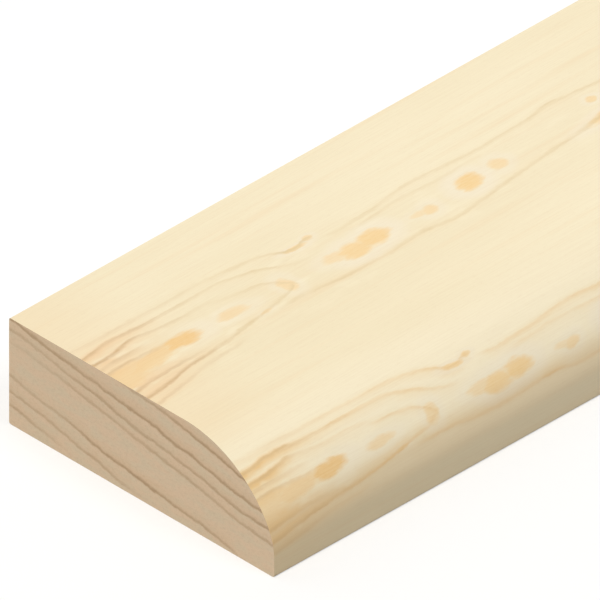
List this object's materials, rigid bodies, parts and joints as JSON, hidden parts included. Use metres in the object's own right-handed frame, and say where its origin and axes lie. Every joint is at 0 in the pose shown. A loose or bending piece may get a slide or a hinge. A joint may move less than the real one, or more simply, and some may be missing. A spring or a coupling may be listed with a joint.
{
  "type": "pencil round moulding",
  "caption": "Length of planed softwood moulding with a flat back, a square back edge and a rounded front edge, used as architrave, cover strip or edging.",
  "frame": {"origin": "middle of the flat back, halfway along the length and across the width", "axes": "+X along the length; +Y across the width towards the square edge, so the rounded edge is at -Y; +Z from the flat back up to the face"},
  "size_m": [2.1, 0.044, 0.015],
  "materials": {
    "planed_pine": "bare planed softwood, pale cream face with orange knots and fine growth rings, tan sawn end grain"
  },
  "bodies": {
    "root": {"pencil_round_moulding": "planed_pine"}
  },
  "joints": []
}
